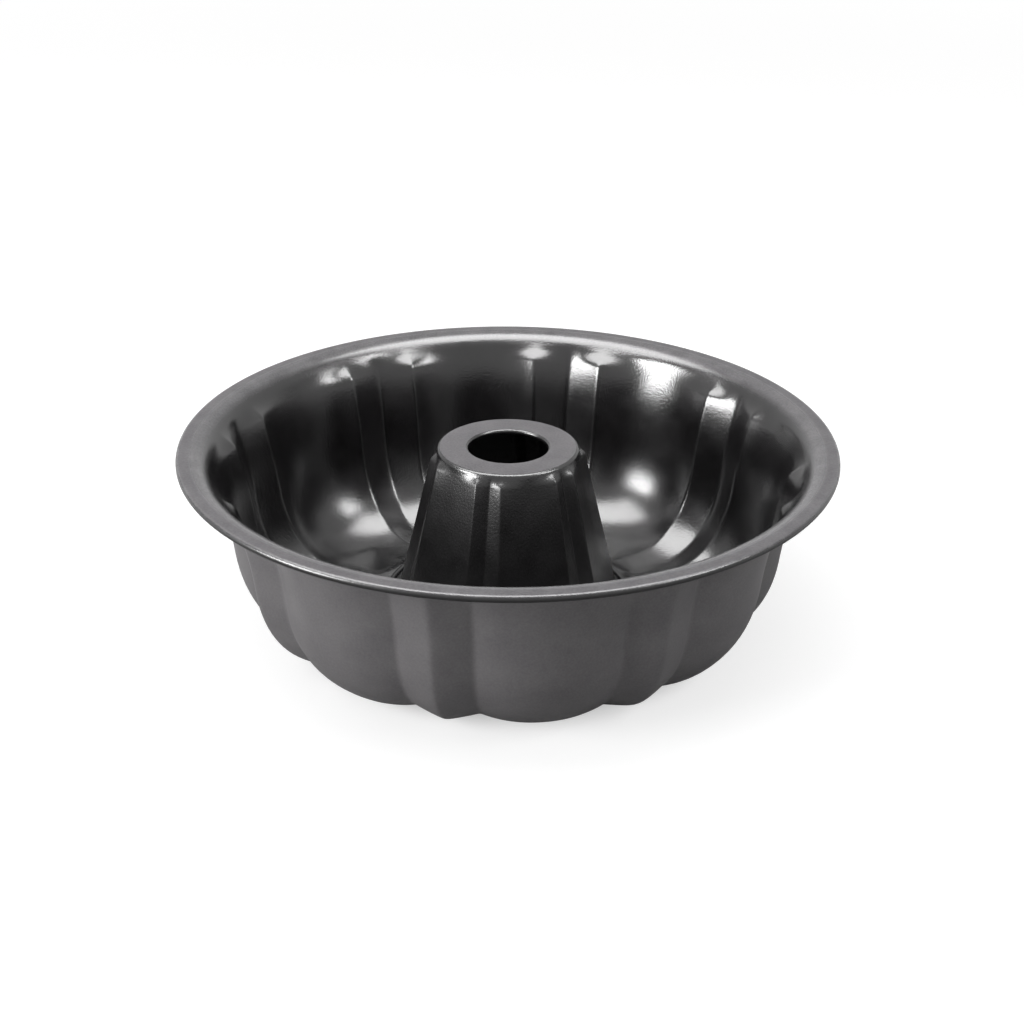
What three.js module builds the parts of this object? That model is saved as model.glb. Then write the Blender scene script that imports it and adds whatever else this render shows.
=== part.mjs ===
// Fluted tube pan: a pressed steel bowl with a rolled rim, and a fluted centre tube hooked onto its floor.
// Millimetres and degrees, +Z up. The origin is on the axis, in the plane that the pan stands on.
import * as THREE from "three";

// Overall sizes
const RIM_DIAMETER = 250;
const HEIGHT = 75.5;
const SHEET = 0.5; // steel with its coating
const CLEARANCE = 0.3; // between sheets and wire that touch on the real pan

// Rim: a flat flange whose edge is rolled down and in over a wire
const WIRE_DIAMETER = 1.2;
const CURL_TUCK = 110; // how far the edge is rolled in past its lowest point
const FLANGE_WIDTH = 4.2; // from the outside of the rolled edge to the fillet
const FLANGE_FILLET = 8.5;

// Bowl: a wall that leans out towards the top, a full round shoulder and a narrow flat foot
const WALL_TOP_TAPER = 18; // from upright
const WALL_FOOT_TAPER = 6;
const SHOULDER_RADIUS = 105.5; // where the wall runs into the shoulder
const SHOULDER_HEIGHT = 36;
const SHOULDER_FULLNESS = 0.57; // 0.55 is a quarter ellipse
const FOOT_RADIUS = 68; // middle of the foot
const FOOT_WIDTH = 8;
const FOOT_PRESS = 0.5; // how far each lobe is pressed flat to stand on
const FLOOR_FULLNESS = 0.45;

// Fluting: narrow V ridges between wide round lobes, with the grooves pushed into the cavity
const FLUTES = 8;
const RIDGE_HALF_ANGLE = 7.5;
const LOBE_POWER = 2.2;
const FLUTE_DEPTH = 4.6; // on the wall
const FLUTE_RUN_IN = 6; // length of wall under the fillet where the flutes reach their depth
const FOOT_FLUTE_DEPTH = 3;
const TUBE_FLUTES = 6;
const TUBE_FLUTE_TURN = 30; // of the tube's first ridge from the shell's
const TUBE_RIDGE_HALF_ANGLE = 9;
const TUBE_FLUTE_DEPTH = 2;
const TUBE_FLUTE_FADE = 4; // height over which the flutes run out under the top ring

// Centre tube: a flat ring with a turned-down hole on top of a leaning wall that flares into the floor
const TUBE_TOP_DROP = 3.5; // top ring below the flange
const TUBE_TOP_RADIUS = 27;
const TUBE_EDGE_RADIUS = 1.2;
const HOLE_RADIUS = 15.3;
const LIP_BEND = 0.8;
const LIP_HEIGHT = 1.6;
const FLARE_RADIUS = 16;

// Seam: the floor's collar stands in a hook that is rolled round the tube's foot
const SEAM_RADIUS = 47.5;
const SEAM_HEIGHT = 8;
const SEAM_BEND = 1;
const SEAM_SLOPE = 35; // of the floor and the flare where they turn down
const HOOK_RETURN = 2;
const HOOK_GROUND_GAP = 2;

// Fineness of the facets
const LOBE_STEPS = 6;
const WIRE_SIDES = 6;

const shellFluting = { period: 360 / FLUTES, first: 0, ridgeHalf: RIDGE_HALF_ANGLE };
const tubeFluting = { period: 360 / TUBE_FLUTES, first: TUBE_FLUTE_TURN, ridgeHalf: TUBE_RIDGE_HALF_ANGLE };
const SHEET_SPACING = SHEET + CLEARANCE; // between the middles of two sheets that lie side by side
const { degToRad } = THREE.MathUtils;
const at = (radius, height) => new THREE.Vector2(radius, height);
const direction = (degrees) => at(Math.cos(degToRad(degrees)), Math.sin(degToRad(degrees)));

// The columns of a ring, in degrees: each ridge's crest and grooves, and the steps across each lobe.
function ringColumns({ period, first, ridgeHalf }) {
  const columns = [];
  const lobe = period - 2 * ridgeHalf;
  for (let crest = first; crest < first + 360; crest += period) {
    columns.push(crest);
    for (let step = 0; step <= LOBE_STEPS; step++) {
      columns.push(crest + ridgeHalf + (lobe * step) / LOBE_STEPS);
    }
  }
  return columns;
}

// How far a sheet is pushed inwards at an angle: 0 at crests and lobe middles, 1 in the grooves.
function fluteShare(angle, { period, first, ridgeHalf }) {
  const turns = (angle - first) / period;
  const fromCrest = period * Math.abs(turns - Math.round(turns));
  if (fromCrest <= ridgeHalf) return fromCrest / ridgeHalf;
  const halfPeriod = period / 2;
  return ((halfPeriod - fromCrest) / (halfPeriod - ridgeHalf)) ** LOBE_POWER;
}

// A closed ring. sectionAt(angle) is its section at a column, a clockwise loop of points (radius, height).
function ringGeometry(fluting, sectionAt) {
  const columns = ringColumns(fluting);
  const sections = columns.map(sectionAt);
  const side = sections[0].length;
  const positions = sections.flatMap((section, column) => {
    const around = direction(columns[column]);
    return section.flatMap(({ x, y }) => [x * around.x, x * around.y, y]);
  });
  const triangles = [];
  sections.forEach((_, column) => {
    const here = column * side;
    const next = ((column + 1) % sections.length) * side;
    for (let i = 0; i < side; i++) {
      const j = (i + 1) % side;
      triangles.push(here + i, here + j, next + i, here + j, next + j, next + i);
    }
  });
  const geometry = new THREE.BufferGeometry();
  geometry.setAttribute("position", new THREE.Float32BufferAttribute(positions, 3));
  geometry.setIndex(triangles);
  geometry.computeVertexNormals();
  return geometry;
}

const line = (from, to) => new THREE.LineCurve(from, to);

function arc(centre, radius, fromAngle, toAngle) {
  const clockwise = toAngle < fromAngle;
  const ends = [degToRad(fromAngle), degToRad(toAngle)];
  return new THREE.EllipseCurve(centre.x, centre.y, radius, radius, ...ends, clockwise);
}

// A curve that leaves one point along a direction and reaches another along a direction.
function sweep(from, leaving, leavingLength, to, arriving, arrivingLength) {
  const first = from.clone().addScaledVector(leaving, leavingLength);
  const second = to.clone().addScaledVector(arriving, -arrivingLength);
  return new THREE.CubicBezierCurve(from, first, second, to);
}

// A pressed sheet from stretches of its middle line, run from the rim inwards with the outside on the left.
// Each stretch has its curve, its number of steps, the depth of the flutes along it and, where they aren't
// measured square to the sheet, the direction that they are measured in.
function sheetGeometry(fluting, stretches) {
  const stations = [];
  stretches.forEach(({ curve, steps, depth = () => 0, measured }, index) => {
    for (let step = index ? 1 : 0; step <= steps; step++) {
      const t = step / steps;
      const along = curve.getTangent(t);
      const outward = at(-along.y, along.x);
      const flute = (measured ?? outward).clone().multiplyScalar(depth(t));
      stations.push({ middle: curve.getPoint(t), outward, flute });
    }
  });
  return ringGeometry(fluting, (angle) => {
    const share = fluteShare(angle, fluting);
    const skin = (offset, lowest) =>
      stations.map(({ middle, outward, flute }) => {
        const point = middle.clone().addScaledVector(outward, offset).addScaledVector(flute, -share);
        return at(point.x, Math.max(point.y, lowest));
      });
    return [...skin(SHEET / 2, 0), ...skin(-SHEET / 2, SHEET).reverse()];
  });
}

const smooth = (t) => t * t * (3 - 2 * t);

// The rolled edge, shared by the shell and its wire
const curlRadius = WIRE_DIAMETER / 2 + CLEARANCE + SHEET / 2; // to the sheet's middle
const beadRadius = curlRadius + SHEET / 2;
const curlCentre = at(RIM_DIAMETER / 2 - beadRadius, HEIGHT - beadRadius);

// The seam's two bends, shared by the shell and the tube
const hookCentre = at(SEAM_RADIUS, HOOK_GROUND_GAP + SHEET / 2 + SHEET_SPACING);
const bendHeight = SEAM_HEIGHT - SEAM_BEND;

// Shell: rolled edge, flange, wall, shoulder, foot, and a floor that rises to the collar
function shellStretches() {
  const flangeHeight = HEIGHT - SHEET / 2;
  const filletCentre = at(RIM_DIAMETER / 2 - FLANGE_WIDTH, flangeHeight - FLANGE_FILLET);
  const tuck = arc(curlCentre, curlRadius, -90 - CURL_TUCK, -90);
  const curl = arc(curlCentre, curlRadius, -90, 90);
  const fillet = arc(filletCentre, FLANGE_FILLET, 90, 180 - WALL_TOP_TAPER);
  const leaning = direction(270 - WALL_TOP_TAPER);
  const down = direction(270 - WALL_FOOT_TAPER);
  const inward = direction(180);
  const filletEnd = fillet.getPoint(1);
  const wallTop = filletEnd.clone().addScaledVector(leaning, FLUTE_RUN_IN);
  const wallFoot = at(SHOULDER_RADIUS, SHOULDER_HEIGHT);
  const wallThird = wallTop.distanceTo(wallFoot) / 3;
  const footHeight = SHEET / 2 - FOOT_PRESS;
  const footOuter = at(FOOT_RADIUS + FOOT_WIDTH / 2, footHeight);
  const footInner = at(FOOT_RADIUS - FOOT_WIDTH / 2, footHeight);
  const shoulderSide = SHOULDER_FULLNESS * (wallFoot.y - footHeight);
  const shoulderFoot = SHOULDER_FULLNESS * (wallFoot.x - footOuter.x);
  const bendCentre = at(SEAM_RADIUS + SEAM_BEND, bendHeight);
  const bend = arc(bendCentre, SEAM_BEND, 90 - SEAM_SLOPE, 180);
  const floorEnd = bend.getPoint(0);
  const rising = direction(180 - SEAM_SLOPE);
  const floorHandle = FLOOR_FULLNESS * (footInner.x - floorEnd.x);
  const onWall = () => FLUTE_DEPTH;
  const onShoulder = (t) => THREE.MathUtils.lerp(FLUTE_DEPTH, FOOT_FLUTE_DEPTH, smooth(t));
  const onFoot = () => FOOT_FLUTE_DEPTH;
  return [
    { curve: tuck, steps: 2 },
    { curve: curl, steps: 4 },
    { curve: line(curl.getPoint(1), fillet.getPoint(0)), steps: 1 },
    {
      curve: fillet,
      steps: 5,
      depth: (t) => FLUTE_DEPTH * smooth(Math.max(0, t - 0.7)),
      measured: direction(-WALL_TOP_TAPER), // square to the wall, so that no groove stands above the flange
    },
    { curve: line(filletEnd, wallTop), steps: 3, depth: (t) => FLUTE_DEPTH * smooth(0.3 + 0.7 * t) },
    { curve: sweep(wallTop, leaning, wallThird, wallFoot, down, wallThird), steps: 3, depth: onWall },
    {
      curve: sweep(wallFoot, down, shoulderSide, footOuter, inward, shoulderFoot),
      steps: 6,
      depth: onShoulder,
    },
    { curve: line(footOuter, footInner), steps: 1, depth: onFoot },
    {
      curve: sweep(footInner, inward, floorHandle, floorEnd, rising, floorHandle),
      steps: 4,
      depth: (t) => FOOT_FLUTE_DEPTH * (1 - t * t),
    },
    { curve: bend, steps: 1 },
    { curve: line(bend.getPoint(1), hookCentre), steps: 1 },
  ];
}

// Tube: hook round the collar, leg, flare, wall, flat top ring and the turned-down lip of its hole
function tubeStretches() {
  const topHeight = HEIGHT - TUBE_TOP_DROP - SHEET / 2;
  const hook = arc(hookCentre, SHEET_SPACING, 0, -180);
  const hookTip = hook.getPoint(0).add(at(0, HOOK_RETURN));
  const bendCentre = at(SEAM_RADIUS - SHEET_SPACING - SEAM_BEND, bendHeight);
  const bend = arc(bendCentre, SEAM_BEND, 0, 90 - SEAM_SLOPE);
  const flareCentre = bend.getPoint(1).addScaledVector(direction(90 - SEAM_SLOPE), FLARE_RADIUS);
  const edgeCentre = at(TUBE_TOP_RADIUS - TUBE_EDGE_RADIUS, topHeight - TUBE_EDGE_RADIUS);
  // The wall is the straight line that the flare and the top edge both run into.
  const between = edgeCentre.clone().sub(flareCentre);
  const crossing = Math.asin((FLARE_RADIUS + TUBE_EDGE_RADIUS) / between.length());
  const lean = THREE.MathUtils.radToDeg(Math.atan2(-between.x, between.y) - crossing);
  const flare = arc(flareCentre, FLARE_RADIUS, 270 - SEAM_SLOPE, 180 + lean);
  const edge = arc(edgeCentre, TUBE_EDGE_RADIUS, lean, 90);
  const wallFoot = flare.getPoint(1);
  const wallTop = edge.getPoint(0);
  const fadeStart = wallTop.clone().addScaledVector(direction(lean - 90), TUBE_FLUTE_FADE);
  const lipRadius = HOLE_RADIUS + SHEET / 2;
  const lip = arc(at(lipRadius + LIP_BEND, topHeight - LIP_BEND), LIP_BEND, 90, 180);
  const lipFoot = at(lipRadius, HEIGHT - TUBE_TOP_DROP - LIP_HEIGHT);
  return [
    { curve: line(hookTip, hook.getPoint(0)), steps: 1 },
    { curve: hook, steps: 3 },
    { curve: line(hook.getPoint(1), bend.getPoint(0)), steps: 1 },
    { curve: bend, steps: 1 },
    { curve: flare, steps: 3, depth: (t) => TUBE_FLUTE_DEPTH * smooth(t) },
    { curve: line(wallFoot, fadeStart), steps: 1, depth: () => TUBE_FLUTE_DEPTH },
    { curve: line(fadeStart, wallTop), steps: 1, depth: (t) => TUBE_FLUTE_DEPTH * (1 - t) },
    { curve: edge, steps: 2 },
    { curve: line(edge.getPoint(1), lip.getPoint(0)), steps: 1 },
    { curve: lip, steps: 2 },
    { curve: line(lip.getPoint(1), lipFoot), steps: 1 },
  ];
}

function wireGeometry() {
  const section = Array.from({ length: WIRE_SIDES }, (_, i) =>
    curlCentre.clone().addScaledVector(direction((-i * 360) / WIRE_SIDES), WIRE_DIAMETER / 2),
  );
  return ringGeometry(shellFluting, () => section);
}

function piece(name, geometry, color, roughness, metalness) {
  const material = new THREE.MeshStandardMaterial({ color, roughness, metalness });
  const mesh = new THREE.Mesh(geometry, material);
  mesh.name = name;
  return mesh;
}

const pan = new THREE.Group();
pan.add(
  piece("pan_shell", sheetGeometry(shellFluting, shellStretches()), 0x5c5a5e, 0.45, 0.2),
  piece("centre_tube", sheetGeometry(tubeFluting, tubeStretches()), 0x1d1c1e, 0.25, 0.2),
  piece("rim_wire", wireGeometry(), 0xa9abad, 0.4, 0.9),
);

export default pan;
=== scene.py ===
"""Fluted tube pan: finishes, fine meshes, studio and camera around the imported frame. Metres, +Z up."""

import math

import bpy
from mathutils import Matrix, Vector


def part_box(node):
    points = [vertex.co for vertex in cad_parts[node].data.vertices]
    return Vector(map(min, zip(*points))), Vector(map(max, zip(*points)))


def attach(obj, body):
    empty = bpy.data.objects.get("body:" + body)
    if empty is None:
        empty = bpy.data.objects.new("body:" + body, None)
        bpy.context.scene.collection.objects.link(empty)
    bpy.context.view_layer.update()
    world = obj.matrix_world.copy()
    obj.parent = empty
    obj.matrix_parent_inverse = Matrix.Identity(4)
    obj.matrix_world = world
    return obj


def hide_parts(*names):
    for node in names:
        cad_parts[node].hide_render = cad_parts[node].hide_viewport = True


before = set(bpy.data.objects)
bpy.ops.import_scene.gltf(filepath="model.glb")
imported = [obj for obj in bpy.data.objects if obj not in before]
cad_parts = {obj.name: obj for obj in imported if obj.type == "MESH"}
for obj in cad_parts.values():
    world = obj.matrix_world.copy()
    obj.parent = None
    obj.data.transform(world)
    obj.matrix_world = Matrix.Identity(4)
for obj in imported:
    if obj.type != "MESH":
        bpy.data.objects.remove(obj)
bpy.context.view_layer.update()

MM = 0.001

# Sizes read from the frame, in metres; the wire's radius is given
RIM_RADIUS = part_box("pan_shell")[1].x
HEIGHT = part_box("pan_shell")[1].z
TUBE_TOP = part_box("centre_tube")[1].z
HOOK_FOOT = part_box("centre_tube")[0].z
WIRE_RADIUS = 0.6 * MM

# Sheet and rim
SHEET = 0.5 * MM
CLEARANCE = 0.3 * MM
CURL_TUCK = 110
FLANGE_WIDTH = 4.2 * MM
FLANGE_FILLET = 8.5 * MM

# Bowl
WALL_TOP_TAPER = 18
WALL_FOOT_TAPER = 6
SHOULDER_RADIUS = 105.5 * MM
SHOULDER_HEIGHT = 36 * MM
SHOULDER_FULLNESS = 0.57
FOOT_RADIUS = 68 * MM
FOOT_WIDTH = 8 * MM
FOOT_PRESS = 0.5 * MM
FLOOR_FULLNESS = 0.45

# Fluting
FLUTES = 8
RIDGE_HALF_ANGLE = 7.5
LOBE_POWER = 2.2
CREST_ROUND = 0.6
GROOVE_ROUND = 0.25
FLUTE_DEPTH = 4.6 * MM
FLUTE_RUN_IN = 6 * MM
FOOT_FLUTE_DEPTH = 3 * MM
TUBE_FLUTES = 6
TUBE_FLUTE_TURN = 30
TUBE_RIDGE_HALF_ANGLE = 9
TUBE_FLUTE_DEPTH = 2 * MM
TUBE_FLUTE_FADE = 4 * MM

# Centre tube and seam
TUBE_TOP_RADIUS = 27 * MM
TUBE_EDGE_RADIUS = 1.2 * MM
HOLE_RADIUS = 15.3 * MM
LIP_BEND = 0.8 * MM
LIP_HEIGHT = 1.6 * MM
FLARE_RADIUS = 16 * MM
SEAM_RADIUS = 47.5 * MM
SEAM_HEIGHT = 8 * MM
SEAM_BEND = 1 * MM
SEAM_SLOPE = 35
HOOK_RETURN = 2 * MM
SHEET_SPACING = SHEET + CLEARANCE

COLUMNS_PER_FLUTE = 60
# Share of a half flute's columns against share of its angle, closer together at the crest and the groove
COLUMN_SPREAD = ((0.15, 0.05), (0.35, 0.29), (0.57, 0.38))
WIRE_SIDES = 16

# Camera, from the rim's outline in the photograph, which is 1024 pixels square
IMAGE_SIZE = 1024
RIM_CENTRE_PIXEL = (507.3, 440.8)
FOCAL_PIXELS = 1675
CAMERA_DISTANCE = 640 * MM
CAMERA_ELEVATION = 23.76
CAMERA_AZIMUTH = 14
CAMERA_ROLL = 0.4
SENSOR = 36.0

# Finish: grain and cloud sizes, and where gloss and black depart from the bowl's full measure
GRAIN = 0.8 * MM
INSIDE_CLOUD = 9 * MM
OUTSIDE_CLOUD = 14 * MM
DRAWING_MARK = 0.5 * MM
BEAD_GLOSS = 0.75
TUBE_WALL_GLOSS = 0.45
FLANGE_BLACK = 0.12

# Studio
FLOOR_REACH = 6.0
FLOOR_LIFT = 0.7
FLOOR_SHADE = (0.055, 0.09)
FLOOR_SHADE_IN_GLOSS = (0.09, 0.45)
FLOOR_FALL_OFF = (0.5, 2.5)
WORLD_LIGHT = 0.176
# How far each shine lamp stands behind its softbox: two lamps in one plane would not both show in gloss
SHINE_BACK = 0.03
# Name, azimuth from the camera rightwards, elevation, distance, size, power, and power for shine alone
SOFTBOXES = (
    ("left softbox", -66, 19, 1.1, (0.5, 0.5), 9.0, 12.0),
    ("right softbox", 70, 40, 1.1, (0.4, 0.4), 2.6, 4.5),
    ("top softbox", -90, 84, 1.0, (0.7, 1.5), 9.0, 27.0),
)


def add(tree, kind, inputs=None, **settings):
    """Adds a node, sets its properties, and sets or links its inputs; a node stands for its first output."""
    node = tree.nodes.new(kind)
    for name, value in settings.items():
        setattr(node, name, value)
    for key, value in (inputs or {}).items():
        if isinstance(value, bpy.types.Node):
            value = value.outputs[0]
        if isinstance(value, bpy.types.NodeSocket):
            tree.links.new(value, node.inputs[key])
        else:
            node.inputs[key].default_value = value
    return node


def srgb(text):
    """A hex colour such as "#1a1a1b" as linear RGBA."""
    parts = [int(text[i:i + 2], 16) / 255 for i in (1, 3, 5)]
    return [p / 12.92 if p <= 0.04045 else ((p + 0.055) / 1.055) ** 2.4 for p in parts] + [1.0]


# Middle lines of the pressed sheets, in the half plane of radius and height

def direction(degrees):
    angle = math.radians(degrees)
    return Vector((math.cos(angle), math.sin(angle)))


def arc(centre, radius, start, end, steps):
    """Points and headings along an arc, anticlockwise if end is over start."""
    turn = 1 if end > start else -1
    angles = [start + (end - start) * i / steps for i in range(steps + 1)]
    return [(centre + radius * direction(a), direction(a + 90 * turn)) for a in angles]


def line(start, end, steps):
    heading = (end - start).normalized()
    return [(start.lerp(end, i / steps), heading) for i in range(steps + 1)]


def sweep(start, leaving, leaving_length, end, arriving, arriving_length, steps):
    """A cubic curve that leaves one point along a direction and reaches another along a direction."""
    first = start + leaving * leaving_length
    second = end - arriving * arriving_length
    stations = []
    for i in range(steps + 1):
        t = i / steps
        s = 1 - t
        point = s**3 * start + 3 * s * s * t * first + 3 * s * t * t * second + t**3 * end
        slope = s * s * (first - start) + 2 * s * t * (second - first) + t * t * (end - second)
        stations.append((point, slope.normalized()))
    return stations


def smooth(t):
    return t * t * (3 - 2 * t)


def ramp(t, start, end):
    """A smooth step from 0 at the start to 1 at the end."""
    return smooth(min(1, max(0, (t - start) / (end - start))))


def level(value):
    """One value along a whole stretch."""
    return lambda t: value


def stretch(stations, depth=level(0.0), measured=None, gloss=level(1.0), black=None):
    """Stations of one stretch: middle point, outward direction, flute push, and the inner skin's finish,
    whose black is in places painted shade.
    """
    made = []
    for i, (point, heading) in enumerate(stations):
        t = i / (len(stations) - 1)
        outward = Vector((-heading.y, heading.x))
        push = -depth(t) * (measured or outward)
        made.append((point, outward, push, gloss(t), (black or gloss)(t)))
    return made


def shell_stations():
    """Rolled edge, flange, wall, shoulder, foot, and the floor up to its collar."""
    curl_radius = WIRE_RADIUS + CLEARANCE + SHEET / 2
    bead_radius = curl_radius + SHEET / 2
    curl_centre = Vector((RIM_RADIUS - bead_radius, HEIGHT - bead_radius))
    flange_height = HEIGHT - SHEET / 2
    fillet_centre = Vector((RIM_RADIUS - FLANGE_WIDTH, flange_height - FLANGE_FILLET))
    tuck = arc(curl_centre, curl_radius, -90 - CURL_TUCK, -90, 6)
    curl = arc(curl_centre, curl_radius, -90, 90, 13)
    fillet = arc(fillet_centre, FLANGE_FILLET, 90, 180 - WALL_TOP_TAPER, 16)
    leaning = direction(270 - WALL_TOP_TAPER)
    down = direction(270 - WALL_FOOT_TAPER)
    inward = Vector((-1, 0))
    wall_top = fillet[-1][0] + leaning * FLUTE_RUN_IN
    wall_foot = Vector((SHOULDER_RADIUS, SHOULDER_HEIGHT))
    third = (wall_top - wall_foot).length / 3
    wall = sweep(wall_top, leaning, third, wall_foot, down, third, 8)
    foot_height = SHEET / 2 - FOOT_PRESS
    foot_outer = Vector((FOOT_RADIUS + FOOT_WIDTH / 2, foot_height))
    foot_inner = Vector((FOOT_RADIUS - FOOT_WIDTH / 2, foot_height))
    shoulder_side = SHOULDER_FULLNESS * (wall_foot.y - foot_height)
    shoulder_foot = SHOULDER_FULLNESS * (wall_foot.x - foot_outer.x)
    shoulder = sweep(wall_foot, down, shoulder_side, foot_outer, inward, shoulder_foot, 20)
    bend_centre = Vector((SEAM_RADIUS + SEAM_BEND, SEAM_HEIGHT - SEAM_BEND))
    bend = arc(bend_centre, SEAM_BEND, 90 - SEAM_SLOPE, 180, 6)
    floor_end = bend[0][0]
    handle = FLOOR_FULLNESS * (foot_inner.x - floor_end.x)
    floor = sweep(foot_inner, inward, handle, floor_end, direction(180 - SEAM_SLOPE), handle, 14)
    collar_foot = Vector((SEAM_RADIUS, HOOK_FOOT + SHEET / 2 + SHEET_SPACING))
    satin = level(0.0)
    on_bead = lambda t: BEAD_GLOSS * (ramp(t, 0.45, 0.65) - ramp(t, 0.8, 1))
    into_gloss = lambda t: ramp(t, 0, 0.15)
    # The fillet keeps the flats' grey partway down: a lighter base under its highlight band, partly painted
    # highlight
    into_black_below_painted_sheen = lambda t: max(FLANGE_BLACK, ramp(t, 0.3, 0.8))
    # The bead's lower half is coloured black as painted shade under the rolled edge; its top keeps the
    # flange's tone
    bead_underside_painted_shade = lambda t: max(FLANGE_BLACK, 1 - ramp(t, 0.6, 0.92))
    on_fillet = lambda t: FLUTE_DEPTH * smooth(max(0, t - 0.7))
    on_run_in = lambda t: FLUTE_DEPTH * smooth(0.3 + 0.7 * t)
    on_shoulder = lambda t: FLUTE_DEPTH + (FOOT_FLUTE_DEPTH - FLUTE_DEPTH) * smooth(t)
    on_floor = lambda t: FOOT_FLUTE_DEPTH * (1 - t * t)
    return [
        # The tuck's black, like the bead's underside, is painted shade
        stretch(tuck, gloss=satin, black=level(1.0)),
        stretch(curl, gloss=on_bead, black=bead_underside_painted_shade),
        stretch(line(curl[-1][0], fillet[0][0], 3), gloss=satin, black=level(FLANGE_BLACK)),
        stretch(fillet, on_fillet, direction(-WALL_TOP_TAPER), into_gloss, into_black_below_painted_sheen),
        stretch(line(fillet[-1][0], wall_top, 6), on_run_in),
        stretch(wall, level(FLUTE_DEPTH)),
        stretch(shoulder, on_shoulder),
        stretch(line(foot_outer, foot_inner, 4), level(FOOT_FLUTE_DEPTH)),
        stretch(floor, on_floor),
        stretch(bend),
        stretch(line(bend[-1][0], collar_foot, 2)),
    ]


def tube_stations():
    """Hook, leg, flare, wall, flat top ring and the turned-down lip of the hole."""
    hook_centre = Vector((SEAM_RADIUS, HOOK_FOOT + SHEET / 2 + SHEET_SPACING))
    top_height = TUBE_TOP - SHEET / 2
    hook = arc(hook_centre, SHEET_SPACING, 0, -180, 10)
    hook_tip = hook[0][0] + Vector((0, HOOK_RETURN))
    bend_centre = Vector((SEAM_RADIUS - SHEET_SPACING - SEAM_BEND, SEAM_HEIGHT - SEAM_BEND))
    bend = arc(bend_centre, SEAM_BEND, 0, 90 - SEAM_SLOPE, 6)
    flare_centre = bend[-1][0] + FLARE_RADIUS * direction(90 - SEAM_SLOPE)
    edge_centre = Vector((TUBE_TOP_RADIUS - TUBE_EDGE_RADIUS, top_height - TUBE_EDGE_RADIUS))
    # The wall is the straight line that the flare and the top edge both run into
    between = edge_centre - flare_centre
    crossing = math.asin((FLARE_RADIUS + TUBE_EDGE_RADIUS) / between.length)
    lean = math.degrees(math.atan2(-between.x, between.y) - crossing)
    flare = arc(flare_centre, FLARE_RADIUS, 270 - SEAM_SLOPE, 180 + lean, 12)
    edge = arc(edge_centre, TUBE_EDGE_RADIUS, lean, 90, 8)
    wall_top = edge[0][0]
    fade_start = wall_top + TUBE_FLUTE_FADE * direction(lean - 90)
    lip_radius = HOLE_RADIUS + SHEET / 2
    lip_centre = Vector((lip_radius + LIP_BEND, top_height - LIP_BEND))
    lip = arc(lip_centre, LIP_BEND, 90, 180, 6)
    lip_foot = Vector((lip_radius, TUBE_TOP - LIP_HEIGHT))
    # The wall is a little duller than the bowl, and as black
    worn = 1 - TUBE_WALL_GLOSS
    into_worn = lambda t: 1 - worn * t
    out_of_worn = lambda t: 1 - worn * (1 - t)
    on_flare = lambda t: TUBE_FLUTE_DEPTH * smooth(t)
    on_fade = lambda t: TUBE_FLUTE_DEPTH * (1 - smooth(t))
    on_wall = level(TUBE_FLUTE_DEPTH)
    dull = level(TUBE_WALL_GLOSS)
    full = level(1.0)
    return [
        stretch(line(hook_tip, hook[0][0], 2)),
        stretch(hook),
        stretch(line(hook[-1][0], bend[0][0], 2)),
        stretch(bend),
        stretch(flare, on_flare, gloss=into_worn, black=full),
        stretch(line(flare[-1][0], fade_start, 8), on_wall, gloss=dull, black=full),
        stretch(line(fade_start, wall_top, 6), on_fade, gloss=out_of_worn, black=full),
        stretch(edge, gloss=lambda t: ramp(1 - t, 0, 0.25)),
        stretch(line(edge[-1][0], lip[0][0], 5), gloss=level(0.0)),
        stretch(lip, gloss=lambda t: ramp(t, 0, 0.25)),
        stretch(line(lip[-1][0], lip_foot, 2)),
    ]


def sheet_loop(stretches):
    """The closed section of a sheet, its skins and edges: (point, push, lowest, gloss, black, inside)."""
    stations = [s for i, made in enumerate(stretches) for s in (made if i == 0 else made[1:])]
    outer = [(p + o * SHEET / 2, push, 0.0, *finish, 0.0) for p, o, push, *finish in stations]
    inner = [(p - o * SHEET / 2, push, SHEET, *finish, 1.0) for p, o, push, *finish in stations]
    edges = []
    for (point, outward, push, *finish), side in ((stations[-1], 1), (stations[0], -1)):
        heading = Vector((outward.y, -outward.x))
        edges.append((point + heading * side * SHEET / 3, push, 0.0, *finish, 1.0))
    return outer + [edges[0]] + inner[::-1] + [edges[1]]


def wire_loop():
    bead_radius = WIRE_RADIUS + CLEARANCE + SHEET
    centre = Vector((RIM_RADIUS - bead_radius, HEIGHT - bead_radius))
    still = Vector((0, 0))
    turns = [-360 * i / WIRE_SIDES for i in range(WIRE_SIDES)]
    return [(centre + WIRE_RADIUS * direction(a), still, 0.0, 0.0, 0.0, 0.0) for a in turns]


def section_mesh(name, loop):
    """A section as loose points, with what the fluting needs to know at each of them."""
    mesh = bpy.data.meshes.new(name)
    points, pushes, *values = zip(*loop)
    mesh.from_pydata([(p.x, 0, p.y) for p in points], [], [])
    pushed = mesh.attributes.new("push", "FLOAT_VECTOR", "POINT")
    pushed.data.foreach_set("vector", [v for push in pushes for v in (push.x, 0, push.y)])
    for name, numbers in zip(("lowest", "gloss", "black", "inside"), values):
        mesh.attributes.new(name, "FLOAT", "POINT").data.foreach_set("value", numbers)
    return mesh


# Geometry nodes: a section turned round the axis and pushed in along the grooves

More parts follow.
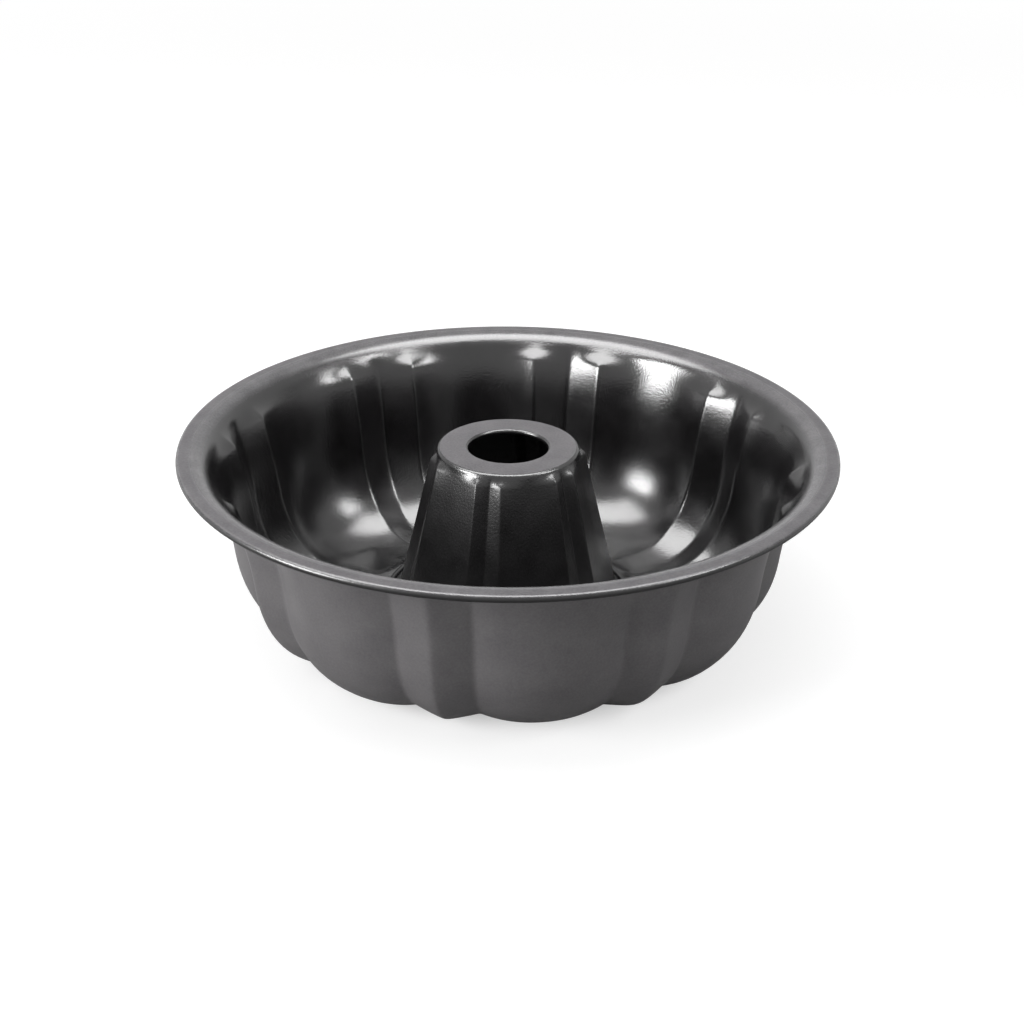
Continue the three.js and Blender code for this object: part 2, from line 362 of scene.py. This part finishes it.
def fluted_ring_tree():
    """Turns a section's points into a closed ring whose flutes follow one rule round the axis."""
    tree = bpy.data.node_groups.new("fluted ring", "GeometryNodeTree")
    face = tree.interface
    face.new_socket("Section", in_out="INPUT", socket_type="NodeSocketGeometry")
    for name, kind in (
        ("Flutes", "Int"),
        ("First Crest", "Float"),
        ("Columns per Flute", "Int"),
        ("Ridge Half Angle", "Float"),
        ("Lobe Power", "Float"),
        ("Crest Round", "Float"),
        ("Groove Round", "Float"),
        ("Outside", "Material"),
        ("Inside", "Material"),
    ):
        face.new_socket(name, in_out="INPUT", socket_type="NodeSocket" + kind)
    face.new_socket("Ring", in_out="OUTPUT", socket_type="NodeSocketGeometry")
    given = add(tree, "NodeGroupInput").outputs

    # A grid with one column more than the ring and one row more than the section, so that both close
    size = add(tree, "GeometryNodeAttributeDomainSize", {0: given["Section"]}, component="MESH")
    points = size.outputs["Point Count"]
    columns = add(
        tree, "FunctionNodeIntegerMath",
        {0: given["Flutes"], 1: given["Columns per Flute"]}, operation="MULTIPLY",
    )
    grid_x = add(tree, "FunctionNodeIntegerMath", {0: columns, 1: 1}, operation="ADD")
    grid_y = add(tree, "FunctionNodeIntegerMath", {0: points, 1: 1}, operation="ADD")
    grid = add(tree, "GeometryNodeMeshGrid", {"Vertices X": grid_x, "Vertices Y": grid_y})
    index = add(tree, "GeometryNodeInputIndex")
    column = add(tree, "FunctionNodeIntegerMath", {0: index, 1: grid_y}, operation="DIVIDE_FLOOR")
    row = add(tree, "FunctionNodeIntegerMath", {0: index, 1: grid_y}, operation="MODULO")
    station = add(tree, "FunctionNodeIntegerMath", {0: row, 1: points}, operation="MODULO")

    # Angle of this column, from the nearest crest and from the start
    phase = add(tree, "ShaderNodeMath", {0: column, 1: given["Columns per Flute"]}, operation="DIVIDE")
    nearest = add(tree, "ShaderNodeMath", {0: phase}, operation="ROUND")
    beside = add(tree, "ShaderNodeMath", {0: phase, 1: nearest}, operation="SUBTRACT")
    to_side = add(tree, "ShaderNodeMath", {0: beside}, operation="SIGN")
    distance = add(tree, "ShaderNodeMath", {0: beside}, operation="ABSOLUTE")
    doubled = add(tree, "ShaderNodeMath", {0: distance, 1: 2.0}, operation="MULTIPLY")
    spread = add(tree, "ShaderNodeFloatCurve", {"Value": doubled})
    curve = spread.mapping.curves[0]
    for x, y in COLUMN_SPREAD:
        curve.points.new(x, y)
    for point in curve.points:
        point.handle_type = "VECTOR"
    spread.mapping.update()
    period = add(tree, "ShaderNodeMath", {0: 360.0, 1: given["Flutes"]}, operation="DIVIDE")
    half = add(tree, "ShaderNodeMath", {0: period, 1: 2.0}, operation="DIVIDE")
    away = add(tree, "ShaderNodeMath", {0: spread, 1: half}, operation="MULTIPLY")
    crest = add(
        tree, "ShaderNodeMath", {0: nearest, 1: period, 2: given["First Crest"]}, operation="MULTIPLY_ADD"
    )
    degrees = add(tree, "ShaderNodeMath", {0: away, 1: to_side, 2: crest}, operation="MULTIPLY_ADD")
    angle = add(tree, "ShaderNodeMath", {0: degrees}, operation="RADIANS")

    # Flute share at this angle: 0 on crests and lobe middles, 1 in the grooves, rounded at both
    squared = add(tree, "ShaderNodeMath", {0: away, 1: away}, operation="MULTIPLY")
    softness = add(
        tree, "ShaderNodeMath", {0: given["Crest Round"], 1: given["Crest Round"], 2: squared},
        operation="MULTIPLY_ADD",
    )
    soft = add(tree, "ShaderNodeMath", {0: softness}, operation="SQRT")
    rounded = add(tree, "ShaderNodeMath", {0: soft, 1: given["Crest Round"]}, operation="SUBTRACT")
    ridge = add(
        tree, "ShaderNodeMath", {0: rounded, 1: given["Ridge Half Angle"]}, operation="DIVIDE"
    )
    to_middle = add(tree, "ShaderNodeMath", {0: half, 1: away}, operation="SUBTRACT")
    half_lobe = add(
        tree, "ShaderNodeMath", {0: half, 1: given["Ridge Half Angle"]}, operation="SUBTRACT"
    )
    across = add(tree, "ShaderNodeMath", {0: to_middle, 1: half_lobe}, operation="DIVIDE")
    lobe = add(tree, "ShaderNodeMath", {0: across, 1: given["Lobe Power"]}, operation="POWER")
    share = add(
        tree, "ShaderNodeMath", {0: ridge, 1: lobe, 2: given["Groove Round"]}, operation="SMOOTH_MIN"
    )

    # The section's point here, pushed in, kept off the ground and turned to its place
    fields = {"place": add(tree, "GeometryNodeInputPosition")}
    for name in ("push", "lowest", "gloss", "black", "inside"):
        kind = "FLOAT_VECTOR" if name == "push" else "FLOAT"
        fields[name] = add(tree, "GeometryNodeInputNamedAttribute", {0: name}, data_type=kind)
    sampled = {}
    for name, field in fields.items():
        kind = "FLOAT_VECTOR" if name in ("place", "push") else "FLOAT"
        sampled[name] = add(
            tree, "GeometryNodeSampleIndex",
            {"Geometry": given["Section"], "Value": field, "Index": station},
            data_type=kind, domain="POINT",
        )
    pushed = add(
        tree, "ShaderNodeVectorMath", {0: sampled["push"], 1: share, 2: sampled["place"]},
        operation="MULTIPLY_ADD",
    )
    parts = add(tree, "ShaderNodeSeparateXYZ", {0: pushed})
    height = add(
        tree, "ShaderNodeMath", {0: parts.outputs["Z"], 1: sampled["lowest"]}, operation="MAXIMUM"
    )
    cosine = add(tree, "ShaderNodeMath", {0: angle}, operation="COSINE")
    sine = add(tree, "ShaderNodeMath", {0: angle}, operation="SINE")
    x = add(tree, "ShaderNodeMath", {0: parts.outputs["X"], 1: cosine}, operation="MULTIPLY")
    y = add(tree, "ShaderNodeMath", {0: parts.outputs["X"], 1: sine}, operation="MULTIPLY")
    spot = add(tree, "ShaderNodeCombineXYZ", {"X": x, "Y": y, "Z": height})
    marked = grid
    for name in ("gloss", "black", "inside"):
        marked = add(
            tree, "GeometryNodeStoreNamedAttribute",
            {"Geometry": marked, "Name": name, "Value": sampled[name]},
            data_type="FLOAT", domain="POINT",
        )
    turned = add(tree, "GeometryNodeSetPosition", {"Geometry": marked, "Position": spot})
    closed = add(tree, "GeometryNodeMergeByDistance", {"Geometry": turned, "Distance": 1e-6})
    shaded = add(tree, "GeometryNodeSetShadeSmooth", {"Geometry": closed})
    side = add(tree, "GeometryNodeInputNamedAttribute", {0: "inside"}, data_type="FLOAT")
    is_inside = add(tree, "FunctionNodeCompare", {0: side, 1: 0.5}, operation="GREATER_THAN")
    realized = add(tree, "GeometryNodeRealizeInstances", {0: shaded})
    outside = add(
        tree, "GeometryNodeSetMaterial", {"Geometry": realized, "Material": given["Outside"]}
    )
    inside = add(
        tree, "GeometryNodeSetMaterial",
        {"Geometry": outside, "Selection": is_inside, "Material": given["Inside"]},
    )
    add(tree, "NodeGroupOutput", {0: inside})
    return tree


def ring_piece(name, loop, fluting, tree, node, outside, inside):
    """A closed ring from a section, as a plain mesh that stands for a CAD node."""
    source = bpy.data.objects.new(name + "_section", section_mesh(name + "_section", loop))
    bpy.context.scene.collection.objects.link(source)
    modifier = source.modifiers.new("fluted ring", "NODES")
    modifier.node_group = tree
    sockets = {s.name: s.identifier for s in tree.interface.items_tree if s.in_out == "INPUT"}
    for key, value in (
        ("Flutes", fluting[0]),
        ("First Crest", fluting[1]),
        ("Ridge Half Angle", fluting[2]),
        ("Columns per Flute", COLUMNS_PER_FLUTE),
        ("Lobe Power", LOBE_POWER),
        ("Crest Round", CREST_ROUND),
        ("Groove Round", GROOVE_ROUND),
        ("Outside", outside),
        ("Inside", inside),
    ):
        modifier[sockets[key]] = value
    graph = bpy.context.evaluated_depsgraph_get()
    mesh = bpy.data.meshes.new_from_object(source.evaluated_get(graph))
    mesh.name = name
    bpy.data.objects.remove(source)
    piece = bpy.data.objects.new(name, mesh)
    bpy.context.scene.collection.objects.link(piece)
    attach(piece, "root")
    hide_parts(node)
    return piece


# Materials

def new_material(name):
    material = bpy.data.materials.new(name)
    material.use_nodes = True
    material.node_tree.nodes.clear()
    return material, material.node_tree


def nonstick_inside():
    """Sprayed and baked fluoropolymer coating: glossy near-black, rubbed to a satin grey on the flats; its
    black also paints shade under the rolled bead, and the grey kept on the fillet's top partly paints its
    highlight.
    """
    material, tree = new_material("nonstick coating, glossy black")
    where = add(tree, "ShaderNodeTexCoord").outputs["Object"]
    gloss = add(tree, "ShaderNodeAttribute", attribute_name="gloss").outputs["Fac"]
    black = add(tree, "ShaderNodeAttribute", attribute_name="black").outputs["Fac"]
    # Spray grain, drawn a little coarser than it is so that it shows
    grain = add(tree, "ShaderNodeTexNoise", {"Vector": where, "Scale": 1 / GRAIN, "Detail": 2.0})
    cloud = add(tree, "ShaderNodeTexNoise", {"Vector": where, "Scale": 1 / INSIDE_CLOUD, "Detail": 3.0})
    specks = add(tree, "ShaderNodeMath", {0: grain, 1: cloud}, operation="ADD")
    mottle = add(tree, "ShaderNodeMapRange", {0: specks, 1: 0.7, 2: 1.3})
    flat_colour = add(
        tree, "ShaderNodeMix",
        {"Factor": mottle, "A": srgb("#525053"), "B": srgb("#696769")}, data_type="RGBA",
    )
    dark_colour = add(
        tree, "ShaderNodeMix",
        {"Factor": mottle, "A": srgb("#0f0e0f"), "B": srgb("#181718")}, data_type="RGBA",
    )
    # Black is the coating's colour, and on the bead's underside painted shade; the grey kept on the fillet's
    # top is partly painted highlight
    colour = add(
        tree, "ShaderNodeMix",
        {"Factor": black, "A": flat_colour.outputs["Result"], "B": dark_colour.outputs["Result"]},
        data_type="RGBA",
    )
    even = add(tree, "ShaderNodeMapRange", {0: gloss, 3: 0.36, 4: 0.16})
    rough = add(tree, "ShaderNodeMath", {0: cloud, 1: 0.12, 2: even}, operation="MULTIPLY_ADD")
    bump = add(tree, "ShaderNodeBump", {"Height": grain, "Strength": 0.8, "Distance": 0.08 * MM})
    index = add(tree, "ShaderNodeMapRange", {0: gloss, 3: 1.35, 4: 1.62})
    shader = add(
        tree, "ShaderNodeBsdfPrincipled",
        {"Base Color": colour.outputs["Result"], "Roughness": rough, "IOR": index, "Normal": bump},
    )
    add(tree, "ShaderNodeOutputMaterial", {"Surface": shader})
    return material


def silicone_outside():
    """Heat-resistant silicone enamel on steel: satin dark grey with a fine grain."""
    material, tree = new_material("silicone enamel, satin grey")
    where = add(tree, "ShaderNodeTexCoord").outputs["Object"]
    # Spray grain, drawn a little coarser than it is so that it shows
    grain = add(tree, "ShaderNodeTexNoise", {"Vector": where, "Scale": 1 / GRAIN, "Detail": 3.0})
    cloud = add(tree, "ShaderNodeTexNoise", {"Vector": where, "Scale": 1 / OUTSIDE_CLOUD, "Detail": 3.0})
    mottle = add(tree, "ShaderNodeMath", {0: grain, 1: cloud}, operation="ADD")
    shade = add(tree, "ShaderNodeMapRange", {0: mottle, 1: 0.6, 2: 1.4})
    colour = add(
        tree, "ShaderNodeMix",
        {"Factor": shade, "A": srgb("#636163"), "B": srgb("#747273")}, data_type="RGBA",
    )
    rough = add(tree, "ShaderNodeMapRange", {0: cloud, 3: 0.36, 4: 0.48})
    bump = add(tree, "ShaderNodeBump", {"Height": grain, "Strength": 0.3, "Distance": 0.05 * MM})
    shader = add(
        tree, "ShaderNodeBsdfPrincipled",
        {"Base Color": colour.outputs["Result"], "Roughness": rough, "IOR": 1.3, "Normal": bump},
    )
    add(tree, "ShaderNodeOutputMaterial", {"Surface": shader})
    return material


def drawn_wire():
    """Bare drawn steel wire: bright with fine drawing marks."""
    material, tree = new_material("drawn steel wire")
    where = add(tree, "ShaderNodeTexCoord").outputs["Object"]
    marks = add(tree, "ShaderNodeTexNoise", {"Vector": where, "Scale": 1 / DRAWING_MARK})
    rough = add(tree, "ShaderNodeMapRange", {0: marks, 3: 0.3, 4: 0.5})
    shader = add(
        tree, "ShaderNodeBsdfPrincipled",
        {"Base Color": srgb("#b4b5b7"), "Metallic": 1.0, "Roughness": rough},
    )
    add(tree, "ShaderNodeOutputMaterial", {"Surface": shader})
    return material


# Studio

def studio_floor():
    """A pale floor that shows white to the eye and to gloss, and keeps the pan's shadow."""
    material, tree = new_material("studio floor")
    path = add(tree, "ShaderNodeLightPath").outputs
    mirrored = add(
        tree, "ShaderNodeMath", {0: path["Is Glossy Ray"], 1: path["Is Transmission Ray"]},
        operation="ADD",
    )
    where = add(tree, "ShaderNodeTexCoord").outputs["Object"]
    radius = add(tree, "ShaderNodeVectorMath", {0: where}, operation="LENGTH").outputs["Value"]
    # No lift under the pan, and in gloss none on the floor that the pan keeps dark: both masks are painted
    # shade, a floor darker near the pan, and in gloss over a wider ring
    beyond, further = [
        add(
            tree, "ShaderNodeMapRange", {0: radius, 1: start, 2: end, 4: FLOOR_LIFT},
            interpolation_type="SMOOTHSTEP",
        )
        for start, end in (FLOOR_SHADE, FLOOR_SHADE_IN_GLOSS)
    ]
    # More lift far off, where the lamps' light falls away
    start, end = FLOOR_FALL_OFF
    far_off = add(tree, "ShaderNodeMapRange", {0: radius, 1: start, 2: end, 4: 1 - FLOOR_LIFT})
    seen = add(tree, "ShaderNodeMath", {0: path["Is Camera Ray"], 1: mirrored}, operation="ADD")
    lift = add(tree, "ShaderNodeMath", {0: path["Is Camera Ray"], 1: beyond}, operation="MULTIPLY")
    lift = add(tree, "ShaderNodeMath", {0: mirrored, 1: further, 2: lift}, operation="MULTIPLY_ADD")
    lift = add(tree, "ShaderNodeMath", {0: seen, 1: far_off, 2: lift}, operation="MULTIPLY_ADD")
    paper = add(tree, "ShaderNodeBsdfDiffuse", {"Color": srgb("#b8b8b8")})
    glow = add(tree, "ShaderNodeEmission", {"Strength": lift})
    both = add(tree, "ShaderNodeAddShader", {0: paper, 1: glow})
    add(tree, "ShaderNodeOutputMaterial", {"Surface": both})
    mesh = bpy.data.meshes.new("floor")
    sides = ((-1, -1), (1, -1), (1, 1), (-1, 1))
    corners = [(FLOOR_REACH * x, FLOOR_REACH * y, 0) for x, y in sides]
    mesh.from_pydata(corners, [], [(0, 1, 2, 3)])
    mesh.materials.append(material)
    floor = bpy.data.objects.new("floor", mesh)
    bpy.context.scene.collection.objects.link(floor)


def studio_world():
    """White surroundings: full white to the eye and in gloss, softer as light."""
    world = bpy.data.worlds.new("studio")
    bpy.context.scene.world = world
    world.use_nodes = True
    tree = world.node_tree
    tree.nodes.clear()
    path = add(tree, "ShaderNodeLightPath").outputs
    seen = add(
        tree, "ShaderNodeMath", {0: path["Is Camera Ray"], 1: path["Is Glossy Ray"]},
        operation="ADD",
    )
    seen = add(tree, "ShaderNodeMath", {0: seen, 1: path["Is Transmission Ray"]}, operation="ADD")
    strength = add(tree, "ShaderNodeMapRange", {0: seen, 3: WORLD_LIGHT, 4: 1.0})
    backing = add(tree, "ShaderNodeBackground", {"Color": srgb("#ffffff"), "Strength": strength})
    add(tree, "ShaderNodeOutputWorld", {"Surface": backing})


def softbox(name, azimuth, elevation, distance, size, power, shine):
    """A soft lamp aimed at the pan, and one of the same size behind it that lights gloss alone."""
    turn = math.radians(CAMERA_AZIMUTH + azimuth)
    rise = math.radians(elevation)
    out = Vector((math.sin(turn) * math.cos(rise), -math.cos(turn) * math.cos(rise), math.sin(rise)))
    for part, energy, back in (("", power, 0), (" shine", shine, SHINE_BACK)):
        lamp = bpy.data.lights.new(name + part, "AREA")
        lamp.shape = "RECTANGLE"
        lamp.size, lamp.size_y = size
        lamp.energy = energy
        holder = bpy.data.objects.new(name + part, lamp)
        holder.location = Vector((0, 0, HEIGHT / 2)) + (distance + back) * out
        holder.rotation_euler = (-out).to_track_quat("-Z", "Y").to_euler()
        holder.visible_diffuse = not part
        bpy.context.scene.collection.objects.link(holder)


def photo_camera():
    """The photograph's camera: the rim's centre lands on its pixel, from the fitted distance and angles."""
    scene = bpy.context.scene
    data = bpy.data.cameras.new("camera")
    data.sensor_width = SENSOR
    data.lens = SENSOR * FOCAL_PIXELS / IMAGE_SIZE
    camera = bpy.data.objects.new("camera", data)
    scene.collection.objects.link(camera)
    scene.camera = camera
    across = (RIM_CENTRE_PIXEL[0] - IMAGE_SIZE / 2) / FOCAL_PIXELS
    below = (RIM_CENTRE_PIXEL[1] - IMAGE_SIZE / 2) / FOCAL_PIXELS
    rise = math.radians(CAMERA_ELEVATION)
    turn = math.radians(CAMERA_AZIMUTH)
    back = Vector((math.sin(turn) * math.cos(rise), -math.cos(turn) * math.cos(rise), math.sin(rise)))
    bead_radius = WIRE_RADIUS + CLEARANCE + SHEET
    target = Vector((0, 0, HEIGHT - bead_radius))
    place = target + CAMERA_DISTANCE * back
    tilt = rise - math.atan(below)
    pan = turn + math.atan(across)
    spin = Matrix.Rotation(pan, 4, "Z") @ Matrix.Rotation(math.pi / 2 - tilt, 4, "X")
    roll = Matrix.Rotation(math.radians(CAMERA_ROLL), 4, "Z")
    camera.matrix_world = Matrix.Translation(place) @ spin @ roll


def main():
    scene = bpy.context.scene
    scene.view_settings.view_transform = "Standard"
    photo_camera()
    studio_world()
    for lamp in SOFTBOXES:
        softbox(*lamp)
    studio_floor()
    inside = nonstick_inside()
    outside = silicone_outside()
    wire = drawn_wire()
    tree = fluted_ring_tree()
    bowl_fluting = (FLUTES, 0.0, float(RIDGE_HALF_ANGLE))
    tube_fluting = (TUBE_FLUTES, float(TUBE_FLUTE_TURN), float(TUBE_RIDGE_HALF_ANGLE))
    bowl = sheet_loop(shell_stations())
    tube = sheet_loop(tube_stations())
    ring_piece("fluted_bowl", bowl, bowl_fluting, tree, "pan_shell", outside, inside)
    ring_piece("fluted_tube", tube, tube_fluting, tree, "centre_tube", inside, inside)
    ring_piece("rolled_in_wire", wire_loop(), bowl_fluting, tree, "rim_wire", wire, wire)


main()
